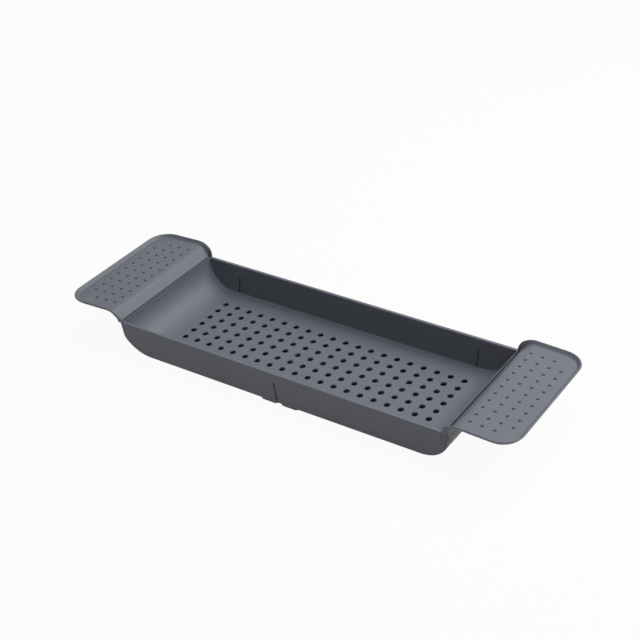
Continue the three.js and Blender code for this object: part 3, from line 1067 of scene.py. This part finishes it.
def add_floor(scene, stage):
    """Pale floor that the camera sees nearly white, with the caddy's shadow on it."""
    bm = bmesh.new()
    bmesh.ops.create_grid(bm, x_segments=1, y_segments=1, size=stage.floor_size / 2)
    mesh = bpy.data.meshes.new("floor")
    bm.to_mesh(mesh)
    bm.free()
    floor = bpy.data.objects.new("floor", mesh)
    scene.collection.objects.link(floor)

    material = bpy.data.materials.new("pale floor")
    material.use_nodes = True
    nodes = material.node_tree.nodes
    links = material.node_tree.links
    shader = nodes["Principled BSDF"]
    shader.inputs["Base Color"].default_value = (*stage.floor, 1)
    shader.inputs["Roughness"].default_value = stage.floor_roughness
    shader.inputs["Specular IOR Level"].default_value = 0
    white = nodes.new("ShaderNodeEmission")
    share = nodes.new("ShaderNodeMath")
    share.operation = "MULTIPLY"
    share.inputs[1].default_value = stage.floor_white
    mix = nodes.new("ShaderNodeMixShader")
    links.new(seen_directly(nodes, links), share.inputs[0])
    links.new(share.outputs["Value"], mix.inputs["Fac"])
    links.new(shader.outputs["BSDF"], mix.inputs[1])
    links.new(white.outputs["Emission"], mix.inputs[2])
    links.new(mix.outputs["Shader"], nodes["Material Output"].inputs["Surface"])
    mesh.materials.append(material)


def add_light(scene, stage):
    """Large soft lamp behind and to the right."""
    data = bpy.data.lights.new("key", "AREA")
    data.energy = stage.key_power
    data.shape = "SQUARE"
    data.size = stage.key_size
    lamp = bpy.data.objects.new("key", data)
    scene.collection.objects.link(lamp)
    lamp.location = stage.key_place
    lamp.rotation_euler = (-lamp.location).to_track_quat("-Z", "Y").to_euler()


def add_world(scene, stage):
    """Even light from all round, with a white background."""
    world = bpy.data.worlds.new("studio")
    world.use_nodes = True
    scene.world = world
    nodes = world.node_tree.nodes
    links = world.node_tree.links
    light = nodes["Background"]
    light.inputs["Color"].default_value = (1, 1, 1, 1)
    light.inputs["Strength"].default_value = stage.fill
    white = nodes.new("ShaderNodeBackground")
    white.inputs["Color"].default_value = (1, 1, 1, 1)
    mix = nodes.new("ShaderNodeMixShader")
    links.new(seen_directly(nodes, links), mix.inputs["Fac"])
    links.new(light.outputs["Background"], mix.inputs[1])
    links.new(white.outputs["Background"], mix.inputs[2])
    links.new(mix.outputs["Shader"], nodes["World Output"].inputs["Surface"])


def add_camera(scene, stage):
    """Camera at the photo's angle."""
    data = bpy.data.cameras.new("camera")
    data.lens = stage.lens
    data.sensor_width = SENSOR_WIDTH
    camera = bpy.data.objects.new("camera", data)
    camera.location = stage.camera_place
    camera.rotation_euler = stage.camera_turn
    scene.collection.objects.link(camera)
    scene.camera = camera


# Operators

class CADDY_OT_tray(bpy.types.Operator):
    """Make the perforated tray"""

    bl_idname = "caddy.tray"
    bl_label = "Perforated tray"

    def execute(self, context):
        scene = context.scene
        make_tray(scene.caddy_tray, scene.caddy_slide, scene.caddy_finish)
        return {"FINISHED"}


class CADDY_OT_slides(bpy.types.Operator):
    """Make the two slides with their wings"""

    bl_idname = "caddy.slides"
    bl_label = "Slides"

    def execute(self, context):
        scene = context.scene
        sizes = (scene.caddy_tray, scene.caddy_slide, scene.caddy_grip)
        for name, sign in SIDES:
            make_slide(*sizes, scene.caddy_finish, name, sign)
        return {"FINISHED"}


class CADDY_OT_grips(bpy.types.Operator):
    """Make the soft grip pads under the wings and their studs"""

    bl_idname = "caddy.grips"
    bl_label = "Grip pads"

    def execute(self, context):
        scene = context.scene
        sizes = (scene.caddy_tray, scene.caddy_slide, scene.caddy_grip)
        for name, sign in SIDES:
            make_pad(*sizes, scene.caddy_finish, name, sign)
        return {"FINISHED"}


class CADDY_OT_feet(bpy.types.Operator):
    """Make the four soft feet"""

    bl_idname = "caddy.feet"
    bl_label = "Feet"

    def execute(self, context):
        scene = context.scene
        for name, end in CORNERS:
            make_foot(scene.caddy_grip, scene.caddy_finish, name, end)
        return {"FINISHED"}


class CADDY_OT_pins(bpy.types.Operator):
    """Make the four stop pins under the tray"""

    bl_idname = "caddy.pins"
    bl_label = "Stop pins"

    def execute(self, context):
        scene = context.scene
        for name, end in CORNERS:
            make_pin(scene.caddy_slide, scene.caddy_finish, name, end)
        return {"FINISHED"}


class CADDY_OT_stage(bpy.types.Operator):
    """Set up the floor, the light and the camera"""

    bl_idname = "caddy.stage"
    bl_label = "Stage"

    def execute(self, context):
        scene = context.scene
        stage = scene.caddy_stage
        scene.view_settings.view_transform = "Standard"
        add_floor(scene, stage)
        add_light(scene, stage)
        add_world(scene, stage)
        add_camera(scene, stage)
        return {"FINISHED"}


# Panel and registration

GROUPS = (
    ("caddy_tray", CaddyTraySizes),
    ("caddy_slide", CaddySlideSizes),
    ("caddy_grip", CaddyGripSizes),
    ("caddy_finish", CaddyFinish),
    ("caddy_stage", CaddyStage),
)
OPERATORS = (
    CADDY_OT_tray,
    CADDY_OT_slides,
    CADDY_OT_grips,
    CADDY_OT_feet,
    CADDY_OT_pins,
    CADDY_OT_stage,
)


class VIEW3D_PT_bath_caddy(bpy.types.Panel):
    """Operators and sizes of the bath caddy."""

    bl_label = "Bath caddy"
    bl_space_type = "VIEW_3D"
    bl_region_type = "UI"
    bl_category = "Bath caddy"

    def draw(self, context):
        for operator in OPERATORS:
            self.layout.operator(operator.bl_idname)
        for attribute, group in GROUPS:
            box = self.layout.box()
            box.label(text=group.__doc__)
            for name in group.__annotations__:
                box.prop(getattr(context.scene, attribute), name)


def register():
    for attribute, group in GROUPS:
        bpy.utils.register_class(group)
        setattr(bpy.types.Scene, attribute, bpy.props.PointerProperty(type=group))
    for cls in (*OPERATORS, VIEW3D_PT_bath_caddy):
        bpy.utils.register_class(cls)


def unregister():
    for cls in reversed((*OPERATORS, VIEW3D_PT_bath_caddy)):
        bpy.utils.unregister_class(cls)
    for attribute, group in reversed(GROUPS):
        delattr(bpy.types.Scene, attribute)
        bpy.utils.unregister_class(group)


def main():
    register()
    bpy.ops.caddy.tray()
    bpy.ops.caddy.slides()
    bpy.ops.caddy.grips()
    bpy.ops.caddy.feet()
    bpy.ops.caddy.pins()
    bpy.ops.caddy.stage()


if __name__ == "__main__":
    main()
